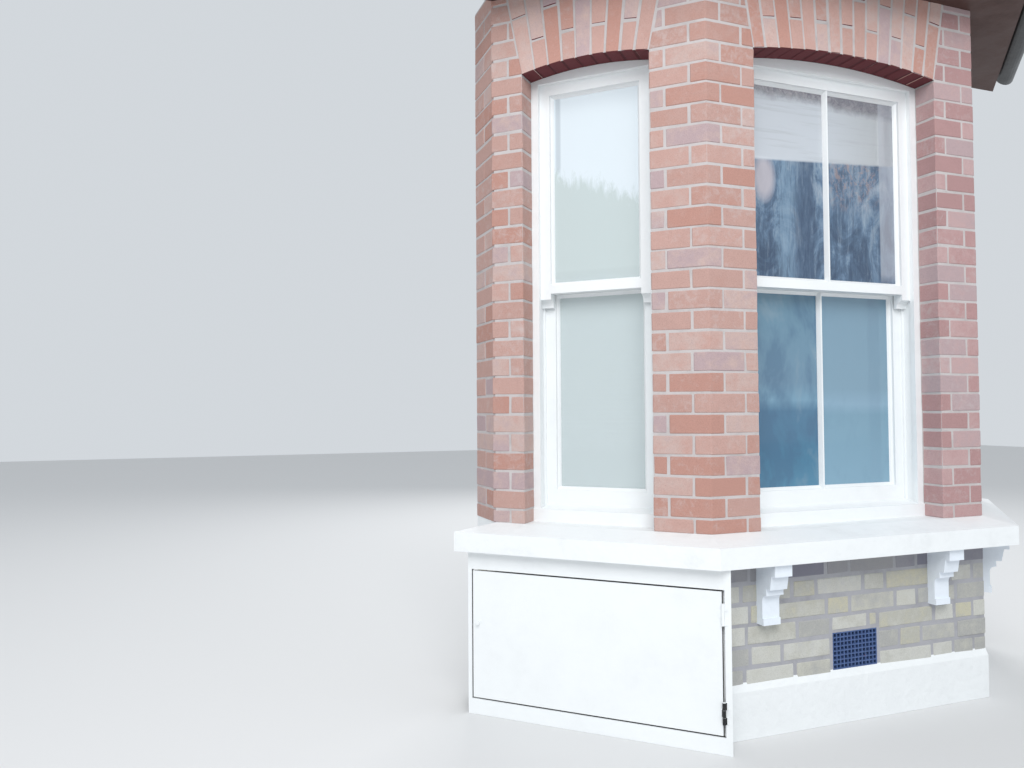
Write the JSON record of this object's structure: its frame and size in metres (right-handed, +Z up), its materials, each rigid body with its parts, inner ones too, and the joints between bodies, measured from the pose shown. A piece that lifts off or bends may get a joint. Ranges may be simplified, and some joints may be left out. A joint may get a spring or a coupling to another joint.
{
  "type": "bay window",
  "caption": "Canted bay window of brick piers and arches with sash windows, painted stone sills, a low cupboard and a hipped slate roof.",
  "frame": {"origin": "on the ground under the centre of the bay's box", "axes": "+X to the right along the front, +Y into the house, +Z up"},
  "size_m": [3.4186, 1.1602, 3.6863],
  "materials": {
    "white_render": "masonry paint on cement render, brushed",
    "stock_brick": "yellow stock brick in lime mortar, weathered",
    "red_brick": "red facing brick in cream lime mortar",
    "iron_grille": "cast air brick, dark blue paint",
    "painted_stone": "white masonry paint on stone",
    "painted_wood": "white gloss on joinery",
    "glass": "clear float glass",
    "blind": "off-white slats and cloth",
    "plaster": "emulsion on plaster",
    "softwood": "sawn pine",
    "brown_wood": "dark brown gloss on boards",
    "slate": "riven slate",
    "lead": "weathered sheet lead",
    "gutter_black": "black paint on cast iron"
  },
  "bodies": {
    "bay": {"plinth": "white_render", "base_wall_front": "stock_brick", "base_wall_left": "stock_brick", "base_wall_right": "stock_brick", "air_brick": "iron_grille", "sill_front": "painted_stone", "sill_left": "painted_stone", "sill_right": "painted_stone", "consoles": "painted_stone", "corner_pier_left": "red_brick", "corner_pier_right": "red_brick", "wall_pier_left": "red_brick", "wall_pier_right": "red_brick", "arch_front": "red_brick", "arch_left": "red_brick", "arch_right": "red_brick", "lintels": "softwood", "frame_front": "painted_wood", "frame_left": "painted_wood", "frame_right": "painted_wood", "upper_sash_front": "painted_wood", "upper_sash_left": "painted_wood", "upper_sash_right": "painted_wood", "lower_sash_front": "painted_wood", "lower_sash_left": "painted_wood", "lower_sash_right": "painted_wood", "glass_front": "glass", "glass_left": "glass", "glass_right": "glass", "blind_front": "blind", "blind_left": "blind", "blind_right": "blind", "window_board": "painted_wood", "plaster_piers": "plaster", "plaster_base": "plaster", "floor_joists": "softwood", "floor_boards": "softwood", "ceiling": "plaster", "eaves": "brown_wood", "roof_timbers": "softwood", "roof_front": "slate", "roof_left": "slate", "roof_right": "slate", "leadwork": "lead", "gutter": "gutter_black", "cupboard_frame": "painted_wood"},
    "door": {"cupboard_door": "painted_wood"}
  },
  "joints": [
    {"name": "door_hinge", "type": "hinge", "parent": "bay", "child": "door", "pos_m": [-0.68802, -0.36731, 0.319], "axis": [0, 0, 1], "range_deg": [0, 100]}
  ]
}
